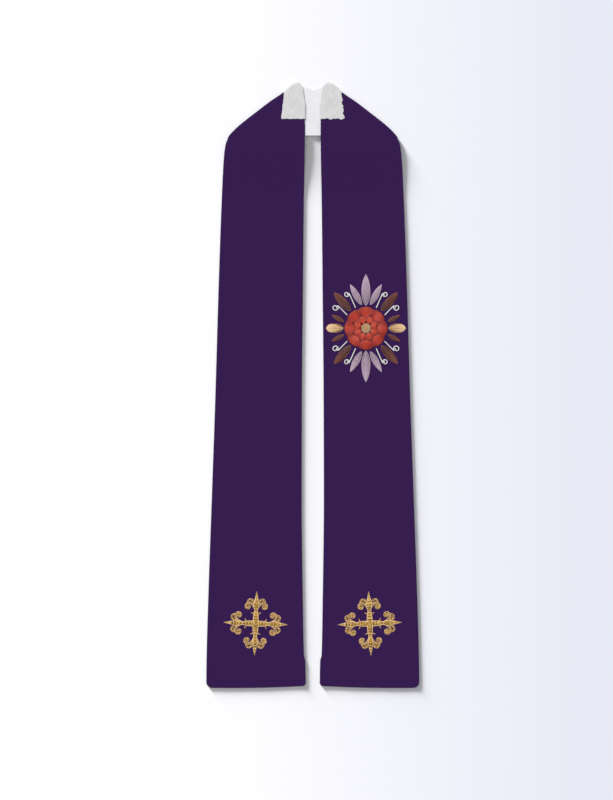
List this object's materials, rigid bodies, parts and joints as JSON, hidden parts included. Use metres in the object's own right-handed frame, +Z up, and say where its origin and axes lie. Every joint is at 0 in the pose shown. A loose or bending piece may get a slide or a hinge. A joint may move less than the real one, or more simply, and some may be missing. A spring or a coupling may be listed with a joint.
{
  "type": "clerical stole",
  "caption": "Long purple clerical stole laid flat, its neck folded under, with a white neck cloth, a gold scrolled cross near each hem and a flower panel on one band.",
  "frame": {"origin": "on the table under the middle of the stole's outline", "axes": "+Y from the hems to the neck, +X across to the band with the flower panel, +Z up out of the embroidered face"},
  "size_m": [0.4066, 1.1576, 0.0076],
  "materials": {
    "band_cloth": "matte purple crepe",
    "neck_cloth": "matte mottled white cotton",
    "gold_thread": "glossy gold embroidery thread",
    "red_thread": "glossy red embroidery thread",
    "lavender_thread": "glossy lavender embroidery thread",
    "brown_thread": "glossy brown embroidery thread",
    "cream_thread": "glossy cream embroidery thread",
    "white_thread": "glossy white embroidery thread"
  },
  "bodies": {
    "root": {"left_band": "band_cloth", "right_band": "band_cloth", "left_neck_flap": "neck_cloth", "right_neck_flap": "neck_cloth", "neck_inside": "neck_cloth", "left_cross": "gold_thread", "right_cross": "gold_thread", "rose_petals": "red_thread", "rose_heart": "red_thread", "rose_boss": "cream_thread", "top_petal": "lavender_thread", "low_petal": "lavender_thread", "left_bud": "cream_thread", "right_bud": "cream_thread", "upper_right_side_petal": "lavender_thread", "upper_left_side_petal": "lavender_thread", "lower_right_side_petal": "lavender_thread", "lower_left_side_petal": "lavender_thread", "upper_right_leaf": "brown_thread", "upper_left_leaf": "brown_thread", "lower_right_leaf": "brown_thread", "lower_left_leaf": "brown_thread", "upper_right_sepal": "brown_thread", "upper_left_sepal": "brown_thread", "lower_right_sepal": "brown_thread", "lower_left_sepal": "brown_thread", "upper_right_upper_tendril": "white_thread", "upper_left_upper_tendril": "white_thread", "lower_right_upper_tendril": "white_thread", "lower_left_upper_tendril": "white_thread", "upper_right_lower_tendril": "white_thread", "upper_left_lower_tendril": "white_thread", "lower_right_lower_tendril": "white_thread", "lower_left_lower_tendril": "white_thread"}
  },
  "joints": []
}
